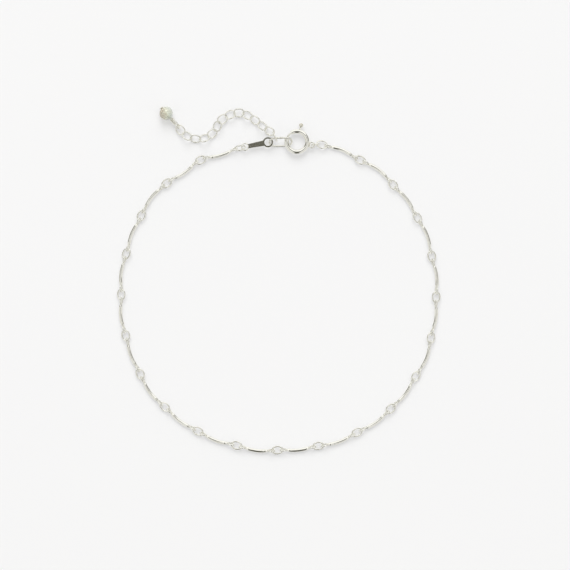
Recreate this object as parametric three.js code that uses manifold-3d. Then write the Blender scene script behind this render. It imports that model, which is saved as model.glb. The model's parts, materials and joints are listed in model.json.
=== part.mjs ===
// A fastened silver anklet lying on a table: bowed bars joined by small oval rings, a spring ring
// clasp hooked on a joining ring, a small plain tag, and an extender chain that ends in a faceted bead.
// Millimetres, +Z up, table at z = 0. Seen from above, +X is to the right and +Y away from the viewer.

import * as THREE from "three";
import { mergeVertices } from "three/addons/utils/BufferGeometryUtils.js";
import Module from "manifold-3d";

// The loop as it lies: nearly a circle, a little wider than deep and a little squared, with its
// first ring pushed out and its last one drawn in.
const LOOP_RADIUS = 36.2;
const LOOP_WIDENING = 0.35;
const LOOP_SQUARING = 0.37;
const LOOP_START_RISE = 0.4;
const LOOP_END_SAG = 0.6;
const LOOP_END_POWER = 20;
const CHAIN_START_DEG = 74;
const CHAIN_SWEEP_DEG = 329.3;
const BAR_COUNT = 22;
const CHAIN_GAP = 0.22;

// Oval ring between two bars.
const RING_LENGTH = 2.8;
const RING_WIDTH = 2.05;
const RING_WIRE = 0.36;
const RING_SWAY_DEG = 5;
const RING_LEAN_DEG = 10;
const RING_ROLL_DEG = 7;
const SWAY_STEP_RAD = 2.4;
const ROLL_STEP_RAD = 1.7;
const FIRST_RING_LIFT = 0.2;
const LAST_RING_LIFT = 0.5;
const LAST_RING_ROLL_DEG = 54;

// Bowed bar: a round rod drawn down at both tips, with a wire eye soldered on each.
const BAR_ROD = 0.88;
const BAR_TIP = 0.5;
const BAR_TAPER = 0.75;
const BAR_BOW_RADIUS = 8.8;
const BAR_ROLL_DEG = 25;
const INWARD_BARS = [21, 22];
const EYE_LENGTH = 1.8;
const EYE_WIDTH = 1.43;
const EYE_WIRE = 0.36;
const EYE_SOLDER = 0.22;
const EYE_TURN_DEG = 8;

// Spring ring clasp: a bent tube with a gap, a bail soldered outside, and a sprung pin inside it.
const CLASP_CENTRE = { x: 4.2, y: 35.4, z: 1.2 };
const CLASP_DIAMETER = 5.85;
const CLASP_TUBE = 1.1;
const CLASP_BORE = 0.78;
const CLASP_GAP_DEG = { from: 123, to: 160 };
const PIN_WIRE = 0.5;
const PIN_DEG = { tail: 60, tip: 169 };
const PIN_TRAVEL_DEG = 47;
const BORE_MARGIN_DEG = 7;
const KNOB_DEG = 76;
const KNOB_BALL = 1.04;
const KNOB_REACH = 3.85;
const STEM_WIRE = 0.4;
const SLOT_WIDTH = 0.62;
const SLOT_MARGIN_DEG = 8;
const BAIL_DEG = -13;
const BAIL_DIAMETER = 1.6;
const BAIL_WIRE = 0.38;
const BAIL_REACH = 3.475;

// Small link that stands on edge between the clasp's bail and the first ring.
const CLASP_LINK_WIDTH = 1.75;
const CLASP_LINK_WIRE = 0.36;

// Joining ring that the clasp hooks on; it leans so that one side passes over the clasp's tube.
const JOIN_WIDTH = 3.1;
const JOIN_WIRE = 0.45;
const JOIN_ROLL_DEG = 47;
const JOIN_SLACK = 0.2;

// Plain tag with a small eye at one end and a round ring at the other.
const TAG_RING_CENTRE = { x: -2.46, y: 35.25, z: 1.2 };
const TAG_THICKNESS = 0.36;
const TAG_BODY_WIDTH = 1.55;
const TAG_EYE = { radius: 0.95, hole: 0.65 };
const TAG_RING = { radius: 1.2, hole: 0.8 };

// Extender chain, from the joining ring to the bead. Each row is a place that the chain runs through.
const EXTENDER_ROUTE = [
  { x: -0.55, y: 35.75, z: 2.45 },
  { x: -1.4, y: 37.5, z: 1.0 },
  { x: -3.2, y: 38.5, z: 0.9 },
  { x: -5.2, y: 40.2, z: 0.9 },
  { x: -9.0, y: 42.2, z: 0.9 },
  { x: -13.4, y: 40.3, z: 0.9 },
  { x: -14.3, y: 38.2, z: 0.9 },
  { x: -16.1, y: 36.5, z: 0.9 },
  { x: -19.0, y: 35.9, z: 0.9 },
  { x: -21.8, y: 37.1, z: 0.9 },
  { x: -23.2, y: 38.95, z: 0.9 },
];
const EXTENDER_LINKS = 14;
const EXTENDER_WIDTH = 2.3;
const EXTENDER_WIRE = 0.36;
const EXTENDER_SOLDER = 0.12;
const EXTENDER_ROLL_DEG = { first: 90, odd: -29, even: 29, sway: -9 };

// Faceted bead on a headed pin whose wire is wrapped and bent to a loop.
const BEAD_DIAMETER = 3.15;
const BEAD_HOLE = 0.62;
const BEAD_CENTRE = { x: -25.85, y: 41.9, z: 1.57 };
const BEAD_PIN_WIRE = 0.36;
const BEAD_PIN_HEAD = 0.85;
const BEAD_PIN_HEAD_THICKNESS = 0.2;
const BEAD_PIN_PLAY = 0.02;
const WRAP_TURNS = 4;
const WRAP_RADIUS = 0.38;
const BEAD_LOOP_LENGTH = 1.75;
const BEAD_LOOP_WIDTH = 1.6;
const BEAD_LOOP_ROLL_DEG = -62;

// Fineness of the round forms.
const RING_SIDES = 12;
const SMALL_RING_SIDES = 10;
const WIRE_SIDES = 6;
const SMALL_WIRE_SIDES = 5;
const ROD_SIDES = 6;
const ROD_STEPS = 4;
const TUBE_SIDES = 10;
const TUBE_STEP_DEG = 11;
const WRAP_STEPS = 8;
const BORE_SIDES = 8;
const BALL_SIDES = 10;
const SLOT_STEPS = 3;
const MERGE_DISTANCE = 1e-4;

const SILVER = new THREE.MeshStandardMaterial({ color: 0xdcdad2, roughness: 0.16, metalness: 1 });
const BEAD_FACETS = new THREE.MeshStandardMaterial({ color: 0xc9c8b4, roughness: 0.22, metalness: 0.6 });

const UP = new THREE.Vector3(0, 0, 1);
const { degToRad } = THREE.MathUtils;
const wasm = await Module();
wasm.setup();

function point({ x, y, z }) {
  return new THREE.Vector3(x, y, z);
}

// Joins and cuts closed geometries.
function solidOf(geometry) {
  const bare = geometry.clone();
  bare.deleteAttribute("normal");
  bare.deleteAttribute("uv");
  const merged = mergeVertices(bare, MERGE_DISTANCE);
  const vertProperties = new Float32Array(merged.attributes.position.array);
  const triVerts = new Uint32Array(merged.index.array);
  return new wasm.Manifold(new wasm.Mesh({ numProp: 3, vertProperties, triVerts }));
}

function geometryOf(solid) {
  const mesh = solid.getMesh();
  const geometry = new THREE.BufferGeometry();
  geometry.setAttribute("position", new THREE.BufferAttribute(mesh.vertProperties, mesh.numProp));
  geometry.setIndex(new THREE.BufferAttribute(mesh.triVerts, 1));
  geometry.computeVertexNormals();
  return geometry;
}

function fuse(geometries) {
  return geometryOf(geometries.map(solidOf).reduce((whole, next) => whole.add(next)));
}

function cut(geometry, tools) {
  return geometryOf(tools.map(solidOf).reduce((rest, tool) => rest.subtract(tool), solidOf(geometry)));
}

// A closed wire ring in the XY plane: two half circles joined by straight sides along X.
function wireRing(length, width, wire, sides = RING_SIDES, wireSides = WIRE_SIDES) {
  const geometry = new THREE.TorusGeometry((width - wire) / 2, wire / 2, wireSides, sides);
  const sideFacesX = sides % 4 ? 0 : Math.PI / sides;
  geometry.rotateZ(sideFacesX);
  const stretch = (length - width) / 2;
  const position = geometry.attributes.position;
  for (let i = 0; i < position.count; i += 1) {
    position.setX(i, position.getX(i) + Math.sign(position.getX(i)) * stretch);
  }
  return geometry;
}

function roundSection(diameter, sides) {
  const corners = [];
  for (let i = 0; i < sides; i += 1) {
    const angle = (2 * Math.PI * i) / sides;
    corners.push(new THREE.Vector2(Math.cos(angle), Math.sin(angle)).multiplyScalar(diameter / 2));
  }
  return new THREE.Shape(corners);
}

// A round wire that follows a curve.
function wireAlong(curve, diameter, sides, steps) {
  return new THREE.ExtrudeGeometry(roundSection(diameter, sides), { extrudePath: curve, steps });
}

class ArcCurve3 extends THREE.Curve {
  constructor(radius, fromDeg, toDeg) {
    super();
    this.radius = radius;
    this.fromDeg = fromDeg;
    this.toDeg = toDeg;
  }

  getPoint(t, target = new THREE.Vector3()) {
    const angle = degToRad(THREE.MathUtils.lerp(this.fromDeg, this.toDeg, t));
    return target.set(this.radius * Math.cos(angle), this.radius * Math.sin(angle), 0);
  }
}

class HelixCurve extends THREE.Curve {
  constructor(radius, from, pitch, turns) {
    super();
    this.radius = radius;
    this.from = from;
    this.pitch = pitch;
    this.turns = turns;
  }

  getPoint(t, target = new THREE.Vector3()) {
    const angle = 2 * Math.PI * this.turns * t;
    const along = this.from + this.pitch * this.turns * t;
    return target.set(along, this.radius * Math.cos(angle), this.radius * Math.sin(angle));
  }
}

class LoopCurve extends THREE.Curve {
  getPoint(t, target = new THREE.Vector3()) {
    const angle = degToRad(CHAIN_START_DEG - CHAIN_SWEEP_DEG * t);
    const widening = LOOP_WIDENING * Math.cos(2 * angle);
    const squaring = LOOP_SQUARING * Math.cos(4 * angle);
    const rise = LOOP_START_RISE * (1 - t) ** LOOP_END_POWER;
    const sag = LOOP_END_SAG * t ** LOOP_END_POWER;
    const radius = LOOP_RADIUS + widening - squaring + rise - sag;
    return target.set(radius * Math.cos(angle), radius * Math.sin(angle), 0);
  }
}

// Lays a piece that is made along its own X axis between two points, rolled about that line.
function layBetween(object, from, to, rollDeg = 0) {
  const along = to.clone().sub(from).normalize();
  const side = UP.clone().cross(along).normalize();
  const top = along.clone().cross(side);
  object.quaternion.setFromRotationMatrix(new THREE.Matrix4().makeBasis(along, side, top));
  object.rotateX(degToRad(rollDeg));
  object.position.copy(from).add(to).multiplyScalar(0.5);
  return object;
}

const anklet = new THREE.Group();

function addPiece(name, geometry, material = SILVER, parent = anklet) {
  const mesh = new THREE.Mesh(geometry, material);
  mesh.name = name;
  parent.add(mesh);
  return mesh;
}

function numbered(name, index) {
  return `${name}_${String(index + 1).padStart(2, "0")}`;
}

// The ends of each ring's wire, flat on the loop: rings are spaced evenly and swayed a little.
const ringReach = (RING_LENGTH - RING_WIRE) / 2;
const loop = new LoopCurve();
const ringEnds = loop.getSpacedPoints(BAR_COUNT).map((centre, i) => {
  const along = loop.getTangentAt(i / BAR_COUNT).multiplyScalar(ringReach);
  along.applyAxisAngle(UP, degToRad(RING_SWAY_DEG * Math.sin(SWAY_STEP_RAD * i)));
  return { near: centre.clone().sub(along), far: centre.clone().add(along) };
});
const spans = ringEnds.slice(1).map(({ near }, i) => near.distanceTo(ringEnds[i].far));
const barSpan = spans.reduce((sum, span) => sum + span) / BAR_COUNT;

// A bar's bow, from the seats of the rings' wires in its eyes.
const eyeSeat = EYE_LENGTH / 2 - EYE_WIRE - CHAIN_GAP - RING_WIRE / 2;
const eyeReach = EYE_LENGTH / 2 - EYE_SOLDER + eyeSeat;
const eyeTurn = degToRad(EYE_TURN_DEG);
const bowHalfAngle = Math.asin((barSpan / 2 - eyeReach * Math.cos(eyeTurn)) / BAR_BOW_RADIUS);
const bowDepth = BAR_BOW_RADIUS * (1 - Math.cos(bowHalfAngle)) + eyeReach * Math.sin(eyeTurn);

// Each bar leans until its belly meets the table, which sets the height of the chain.
const chainHeight = bowDepth * Math.sin(degToRad(BAR_ROLL_DEG)) + BAR_ROD / 2;
for (const end of ringEnds.flatMap(({ near, far }) => [near, far])) {
  end.z = chainHeight;
}
ringEnds[0].near.z += FIRST_RING_LIFT;
ringEnds[BAR_COUNT].far.z += LAST_RING_LIFT;

// A straight turned rod with drawn tips, bent to the bow, with an eye soldered on each tip.
function barGeometry() {
  const rodHalf = BAR_BOW_RADIUS * bowHalfAngle;
  const shoulder = rodHalf - BAR_TAPER;
  const profile = [new THREE.Vector2(0, -rodHalf), new THREE.Vector2(BAR_TIP / 2, -rodHalf)];
  for (let i = 0; i <= ROD_STEPS; i += 1) {
    profile.push(new THREE.Vector2(BAR_ROD / 2, THREE.MathUtils.lerp(-shoulder, shoulder, i / ROD_STEPS)));
  }
  profile.push(new THREE.Vector2(BAR_TIP / 2, rodHalf), new THREE.Vector2(0, rodHalf));

  const rod = new THREE.LatheGeometry(profile, ROD_SIDES);
  rod.rotateZ(-Math.PI / 2);
  const position = rod.attributes.position;
  for (let i = 0; i < position.count; i += 1) {
    const angle = position.getX(i) / BAR_BOW_RADIUS;
    const radius = BAR_BOW_RADIUS + position.getY(i);
    position.setX(i, radius * Math.sin(angle));
    position.setY(i, radius * Math.cos(angle) - BAR_BOW_RADIUS + bowDepth);
  }

  const eyes = [-1, 1].map((end) => {
    const eye = wireRing(EYE_LENGTH, EYE_WIDTH, EYE_WIRE, SMALL_RING_SIDES, SMALL_WIRE_SIDES);
    eye.rotateX(Math.PI / 2);
    eye.rotateZ(-end * eyeTurn);
    const fromMiddle = barSpan / 2 - eyeSeat * Math.cos(eyeTurn);
    return eye.translate(end * fromMiddle, eyeSeat * Math.sin(eyeTurn), 0);
  });
  return fuse([rod, ...eyes]);
}

// The chain: each ring leans as the bars beside it do, and a bar runs from each ring to the next.
function bowsInward(bar) {
  return INWARD_BARS.includes(bar);
}

function ringRollDeg(i) {
  const sides = [i, i + 1].map((bar) => (bowsInward(bar) ? 1 : -1));
  const lean = (RING_LEAN_DEG * (sides[0] + sides[1])) / 2;
  return i === BAR_COUNT ? LAST_RING_ROLL_DEG : lean + RING_ROLL_DEG * Math.sin(ROLL_STEP_RAD * i);
}

ringEnds.forEach(({ near, far }, i) => {
  const shape = wireRing(RING_LENGTH, RING_WIDTH, RING_WIRE, RING_SIDES, SMALL_WIRE_SIDES);
  layBetween(addPiece(numbered("ring", i), shape), near, far, ringRollDeg(i));
});

const barShape = barGeometry();
for (let i = 0; i < BAR_COUNT; i += 1) {
  const bar = addPiece(numbered("bar", i), barShape.clone());
  const rollDeg = bowsInward(i + 1) ? BAR_ROLL_DEG - 180 : -BAR_ROLL_DEG;
  layBetween(bar, ringEnds[i].far, ringEnds[i + 1].near, rollDeg);
}

// The clasp, in its own flat frame about its centre.
const claspRadius = (CLASP_DIAMETER - CLASP_TUBE) / 2;
const clasp = new THREE.Group();
clasp.position.copy(point(CLASP_CENTRE));
anklet.add(clasp);

function arcWire(diameter, sides, fromDeg, toDeg) {
  const steps = Math.ceil((toDeg - fromDeg) / TUBE_STEP_DEG);
  return wireAlong(new ArcCurve3(claspRadius, fromDeg, toDeg), diameter, sides, steps);
}

function slotSector(fromDeg, toDeg) {
  const outer = claspRadius + CLASP_TUBE;
  const sector = new THREE.Shape();
  sector.absarc(0, 0, claspRadius, degToRad(fromDeg), degToRad(toDeg), false);
  sector.absarc(0, 0, outer, degToRad(toDeg), degToRad(fromDeg), true);
  const geometry = new THREE.ExtrudeGeometry(sector, {
    depth: SLOT_WIDTH,
    bevelEnabled: false,
    curveSegments: SLOT_STEPS,
  });
  return geometry.translate(0, 0, -SLOT_WIDTH / 2);
}

function onClasp(radius, deg) {
  const angle = degToRad(deg);
  return new THREE.Vector3(radius * Math.cos(angle), radius * Math.sin(angle), 0);
}

const tube = arcWire(CLASP_TUBE, TUBE_SIDES, CLASP_GAP_DEG.to, CLASP_GAP_DEG.from + 360);
const bailAt = onClasp(BAIL_REACH, BAIL_DEG);
const bail = wireRing(BAIL_DIAMETER, BAIL_DIAMETER, BAIL_WIRE).translate(bailAt.x, bailAt.y, 0);
const openTail = PIN_DEG.tail - PIN_TRAVEL_DEG - BORE_MARGIN_DEG;
const springBore = arcWire(CLASP_BORE, BORE_SIDES, openTail, CLASP_GAP_DEG.from + BORE_MARGIN_DEG);
const tipEnd = PIN_DEG.tip + BORE_MARGIN_DEG;
const tipBore = arcWire(CLASP_BORE, BORE_SIDES, CLASP_GAP_DEG.to - BORE_MARGIN_DEG, tipEnd);
const slot = slotSector(KNOB_DEG - PIN_TRAVEL_DEG - SLOT_MARGIN_DEG, KNOB_DEG + SLOT_MARGIN_DEG);
addPiece("clasp_ring", cut(fuse([tube, bail]), [springBore, tipBore, slot]), SILVER, clasp);

const stemLength = KNOB_REACH - claspRadius;
const stemAt = onClasp(claspRadius + stemLength / 2, KNOB_DEG);
const stem = new THREE.CylinderGeometry(STEM_WIRE / 2, STEM_WIRE / 2, stemLength, BORE_SIDES);
stem.rotateZ(degToRad(KNOB_DEG - 90)).translate(stemAt.x, stemAt.y, 0);
const knobAt = onClasp(KNOB_REACH, KNOB_DEG);
const knob = new THREE.SphereGeometry(KNOB_BALL / 2, BALL_SIDES, BALL_SIDES / 2 + 1);
knob.translate(knobAt.x, knobAt.y, 0);
const pin = arcWire(PIN_WIRE, BORE_SIDES, PIN_DEG.tail, PIN_DEG.tip);
addPiece("clasp_trigger", fuse([pin, stem, knob]), SILVER, clasp);

// The standing link, from the hole of the bail to the inside of the first ring.
const bailHole = bailAt.clone().add(clasp.position);
const firstRingAlong = ringEnds[0].far.clone().sub(ringEnds[0].near).normalize();
const linkInset = RING_WIRE / 2 + CHAIN_GAP + CLASP_LINK_WIRE / 2;
const linkEnd = ringEnds[0].near.clone().addScaledVector(firstRingAlong, linkInset);
const claspLinkLength = bailHole.distanceTo(linkEnd) + CLASP_LINK_WIRE;
const claspLink = addPiece("clasp_link", wireRing(claspLinkLength, CLASP_LINK_WIDTH, CLASP_LINK_WIRE));
layBetween(claspLink, bailHole, linkEnd, 90);

// The tag, from the eye on the last ring to the round ring on the joining ring.
const tagEyeAt = ringEnds[BAR_COUNT].far;
const tagRingAt = point(TAG_RING_CENTRE);
const tagHalf = tagEyeAt.distanceTo(tagRingAt) / 2;

function tagGeometry() {
  const bodyHalf = TAG_BODY_WIDTH / 2;
  const eyeMeets = Math.asin(bodyHalf / TAG_EYE.radius);
  const ringMeets = Math.asin(bodyHalf / TAG_RING.radius);
  const outline = new THREE.Shape();
  outline.absarc(-tagHalf, 0, TAG_EYE.radius, eyeMeets, 2 * Math.PI - eyeMeets, false);
  outline.absarc(tagHalf, 0, TAG_RING.radius, ringMeets - Math.PI, Math.PI - ringMeets, false);
  outline.holes.push(new THREE.Path().absarc(-tagHalf, 0, TAG_EYE.hole, 0, 2 * Math.PI, true));
  outline.holes.push(new THREE.Path().absarc(tagHalf, 0, TAG_RING.hole, 0, 2 * Math.PI, true));
  const plate = new THREE.ExtrudeGeometry(outline, {
    depth: TAG_THICKNESS,
    bevelEnabled: false,
    curveSegments: RING_SIDES / 2,
  });
  return plate.translate(0, 0, -TAG_THICKNESS / 2);
}

layBetween(addPiece("tag", tagGeometry()), tagEyeAt, tagRingAt);

// The joining ring, from inside the tag's ring to inside the clasp.
const joinInset = JOIN_WIRE / 2 + CHAIN_GAP;
const joinFrom = tagRingAt.clone();
joinFrom.x += TAG_RING.hole - joinInset;
const joinTo = clasp.position.clone();
joinTo.x -= claspRadius - CLASP_TUBE / 2 - joinInset - JOIN_SLACK;
const joinLength = joinFrom.distanceTo(joinTo) + JOIN_WIRE;
const joiningRing = addPiece("joining_ring", wireRing(joinLength, JOIN_WIDTH, JOIN_WIRE));
layBetween(joiningRing, joinFrom, joinTo, JOIN_ROLL_DEG);

// The extender: links that turn from one to the next and are soldered where they meet.
const extenderRoute = new THREE.CatmullRomCurve3(EXTENDER_ROUTE.map(point));
const meetings = extenderRoute.getSpacedPoints(EXTENDER_LINKS);

function extenderGeometry() {
  const pitch = extenderRoute.getLength() / EXTENDER_LINKS;
  const linkLength = pitch + 2 * EXTENDER_WIRE - EXTENDER_SOLDER;
  const linkShape = wireRing(linkLength, EXTENDER_WIDTH, EXTENDER_WIRE, SMALL_RING_SIDES, SMALL_WIRE_SIDES);
  const links = [];
  for (let i = 0; i < EXTENDER_LINKS; i += 1) {
    const { first, odd, even, sway } = EXTENDER_ROLL_DEG;
    const turned = (i % 2 ? odd : even) + sway * Math.sin(SWAY_STEP_RAD * i);
    const link = layBetween(new THREE.Object3D(), meetings[i], meetings[i + 1], i ? turned : first);
    link.updateMatrix();
    links.push(linkShape.clone().applyMatrix4(link.matrix));
  }
  return fuse(links);
}

addPiece("extender_chain", extenderGeometry());

// The drop: bead and pin share a line from the bead's centre to the loop on the extender's last link.
const beadAt = point(BEAD_CENTRE);
const lastLinkAlong = meetings.at(-1).clone().sub(meetings.at(-2)).normalize();
const pastMeeting = (EXTENDER_WIRE - EXTENDER_SOLDER) / 2;
const loopAt = meetings.at(-1).clone().addScaledVector(lastLinkAlong, pastMeeting);
const dropReach = beadAt.distanceTo(loopAt);
const drop = layBetween(new THREE.Group(), beadAt, loopAt);
drop.position.copy(beadAt);
anklet.add(drop);

function roundBar(diameter, from, to, sides) {
  const bar = new THREE.CylinderGeometry(diameter / 2, diameter / 2, to - from, sides);
  return bar.rotateZ(-Math.PI / 2).translate((from + to) / 2, 0, 0);
}

const beadBall = new THREE.IcosahedronGeometry(BEAD_DIAMETER / 2, 1);
const beadDrill = roundBar(BEAD_HOLE, -BEAD_DIAMETER, BEAD_DIAMETER, BORE_SIDES);
addPiece("bead", cut(beadBall, [beadDrill]), BEAD_FACETS, drop);

const headAt = -BEAD_DIAMETER / 2 - BEAD_PIN_PLAY;
const wrapFrom = BEAD_DIAMETER / 2 + BEAD_PIN_PLAY + BEAD_PIN_WIRE / 2;
const loopNear = dropReach - BEAD_LOOP_LENGTH / 2 + BEAD_PIN_WIRE / 2;
const wrapPitch = (loopNear - wrapFrom) / WRAP_TURNS;
const pinHead = roundBar(BEAD_PIN_HEAD, headAt - BEAD_PIN_HEAD_THICKNESS, headAt, BALL_SIDES);
const pinStem = roundBar(BEAD_PIN_WIRE, headAt - BEAD_PIN_HEAD_THICKNESS / 2, loopNear, BORE_SIDES);
const wrapCurve = new HelixCurve(WRAP_RADIUS, wrapFrom, wrapPitch, WRAP_TURNS);
const wrap = wireAlong(wrapCurve, BEAD_PIN_WIRE, SMALL_WIRE_SIDES, WRAP_TURNS * WRAP_STEPS);
const pinLoop = wireRing(BEAD_LOOP_LENGTH, BEAD_LOOP_WIDTH, BEAD_PIN_WIRE);
pinLoop.rotateX(degToRad(BEAD_LOOP_ROLL_DEG)).translate(dropReach, 0, 0);
addPiece("bead_pin", fuse([pinHead, pinStem, wrap, pinLoop]), SILVER, drop);

// The origin is on the table, under the middle of the whole anklet.
anklet.updateMatrixWorld(true);
const extent = new THREE.Box3().setFromObject(anklet, true);
const middle = extent.getCenter(new THREE.Vector3());
anklet.position.set(-middle.x, -middle.y, -extent.min.z);
anklet.updateMatrixWorld(true);

export default anklet;
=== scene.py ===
# A fastened silver anklet lying on a pale table: bowed bars joined by oval rings, a spring ring clasp,
# a plain tag and an extender chain that ends in a faceted stone bead. It is seen from straight above.
import json
import math

import bpy
from mathutils import Matrix, Vector


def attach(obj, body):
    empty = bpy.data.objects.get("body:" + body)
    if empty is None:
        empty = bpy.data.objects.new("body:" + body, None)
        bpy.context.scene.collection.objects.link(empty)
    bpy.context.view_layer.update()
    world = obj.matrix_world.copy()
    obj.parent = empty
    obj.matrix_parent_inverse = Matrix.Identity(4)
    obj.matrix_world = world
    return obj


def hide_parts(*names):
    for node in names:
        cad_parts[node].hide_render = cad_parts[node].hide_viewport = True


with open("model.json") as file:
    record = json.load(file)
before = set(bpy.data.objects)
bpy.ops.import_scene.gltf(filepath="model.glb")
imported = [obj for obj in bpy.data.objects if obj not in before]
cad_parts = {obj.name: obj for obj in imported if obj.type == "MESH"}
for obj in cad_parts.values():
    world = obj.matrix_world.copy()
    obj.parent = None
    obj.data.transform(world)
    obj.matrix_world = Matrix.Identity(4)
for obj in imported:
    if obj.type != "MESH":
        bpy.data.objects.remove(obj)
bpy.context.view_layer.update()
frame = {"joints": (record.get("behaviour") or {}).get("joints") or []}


# Oval rings. Each joins two bars: drawn round silver wire, wound on an oval former, cut off and soldered
# shut on one long side, where the solder leaves a slight swelling. They are tumbled bright and lie nearly
# flat, spaced evenly round the loop. The bench is in millimetres, with its centre inside the loop.
RING_LENGTH = 2.8
RING_WIDTH = 2.05
RING_WIRE = 0.36
RING_STEPS = 48
WIRE_STEPS = 16
CIRCLE_POINTS = 4
LEAST_WIRE_STEPS = 4
SEAM_NEAR = 0.01
SEAM_SWELL = 0.022
MERGE = 1e-4

LOOP_RADIUS = 36.2
LOOP_WIDENING = 0.35
LOOP_SQUARING = 0.37
LOOP_START_RISE = 0.4
LOOP_END_SAG = 0.6
LOOP_END_POWER = 20
CHAIN_START_DEG = 74
CHAIN_SWEEP_DEG = 329.3
CHAIN_GAP = 0.22
CURVE_SAMPLES = 2000
BAR_COUNT = 22
INWARD_BARS = (21, 22)

RING_SWAY_DEG = 5
RING_LEAN_DEG = 10
RING_ROLL_DEG = 7
SWAY_STEP = 2.4
ROLL_STEP = 1.7
FIRST_RING_LIFT = 0.2
LAST_RING_LIFT = 0.5
LAST_RING_ROLL_DEG = 54

CLASP_CENTRE = Vector((4.2, 35.4, 1.2))
MM_PER_METRE = 1000
clasp_in_frame = Vector(frame["joints"][0]["pos_m"]) * MM_PER_METRE
BENCH_TO_FRAME = Matrix.Scale(1 / MM_PER_METRE, 4) @ Matrix.Translation(clasp_in_frame - CLASP_CENTRE)

BRIGHT_SILVER = (0.945, 0.938, 0.885, 1)
WARM_TARNISH = (0.73, 0.70, 0.58, 1)
SOLDER_TONE = (0.85, 0.84, 0.76, 1)
TARNISH_BAND = (0.42, 0.72)
TARNISH_SHARE = (0, 1)
SOLDER_BAND = (0.25, 0.7)
SOLDER_SHARE = (0.5, 1)
DULL_BAND = (0.3, 0.75)
DULL_SHARE = (0.55, 1.5)
MARK_STRENGTH = 0.4


def pick(piece, wanted):
    """Select the vertices whose place passes a test, and stay in edit mode."""
    bpy.context.view_layer.objects.active = piece
    bpy.ops.object.mode_set(mode="EDIT")
    bpy.ops.mesh.select_mode(type="VERT")
    bpy.ops.mesh.select_all(action="DESELECT")
    bpy.ops.object.mode_set(mode="OBJECT")
    for vertex in piece.data.vertices:
        vertex.select = wanted(vertex.co)
    bpy.ops.object.mode_set(mode="EDIT")


def mark_solder(piece, wanted):
    """Note in the mesh where solder shows, for the silver to read."""
    bpy.context.view_layer.objects.active = piece
    if "solder" not in piece.data.attributes:
        bpy.ops.geometry.attribute_add(name="solder", domain="POINT", data_type="FLOAT")
    piece.data.attributes.active = piece.data.attributes["solder"]
    pick(piece, wanted)
    bpy.ops.mesh.attribute_set(value_float=1.0)
    bpy.ops.object.mode_set(mode="OBJECT")


def close_up(piece):
    """Merge the seams of a swept, spun or mirrored shape and turn its faces outwards."""
    bpy.context.view_layer.objects.active = piece
    bpy.ops.object.mode_set(mode="EDIT")
    bpy.ops.mesh.select_all(action="SELECT")
    bpy.ops.mesh.remove_doubles(threshold=MERGE)
    bpy.ops.mesh.normals_make_consistent(inside=False)
    bpy.ops.object.mode_set(mode="OBJECT")


def close_seam(ring):
    """Swell the wire a little where it is soldered shut, on the +Y side, and note the solder."""

    def at_seam(place):
        return abs(place.x) < SEAM_NEAR and place.y > 0

    pick(ring, at_seam)
    bpy.ops.transform.shrink_fatten(value=SEAM_SWELL)
    bpy.ops.object.mode_set(mode="OBJECT")
    mark_solder(ring, at_seam)
    bpy.ops.object.shade_smooth()


def wire_ring(name, length, width, wire):
    """A ring of round wire in the XY plane, stretched along X, with its seam on the +Y side."""
    bpy.ops.object.select_all(action="DESELECT")
    bpy.ops.mesh.primitive_torus_add(
        major_segments=RING_STEPS,
        minor_segments=WIRE_STEPS,
        major_radius=(width - wire) / 2,
        minor_radius=wire / 2,
    )
    ring = bpy.context.object
    ring.name = name
    for side in (1, -1):
        pick(ring, lambda place: place.x * side > SEAM_NEAR)
        bpy.ops.transform.translate(value=(side * (length - width) / 2, 0, 0))
    bpy.ops.object.mode_set(mode="OBJECT")
    close_seam(ring)
    return ring


def bent_oval(name, length, width, wire):
    """A ring of round wire bent to an ellipse in the XY plane, with its seam on the +Y side."""
    bpy.ops.object.select_all(action="DESELECT")
    bpy.ops.curve.primitive_bezier_circle_add(radius=0.5)
    line = bpy.context.object
    bpy.ops.object.mode_set(mode="EDIT")
    bpy.ops.curve.select_all(action="SELECT")
    bpy.ops.transform.resize(value=(length - wire, width - wire, 1))
    bpy.ops.object.mode_set(mode="OBJECT")
    line.data.resolution_u = RING_STEPS // CIRCLE_POINTS
    line.data.bevel_depth = wire / 2
    line.data.bevel_resolution = (WIRE_STEPS - LEAST_WIRE_STEPS) // 2
    bpy.ops.object.convert(target="MESH")
    ring = bpy.context.object
    ring.name = name
    close_up(ring)
    close_seam(ring)
    return ring


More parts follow.
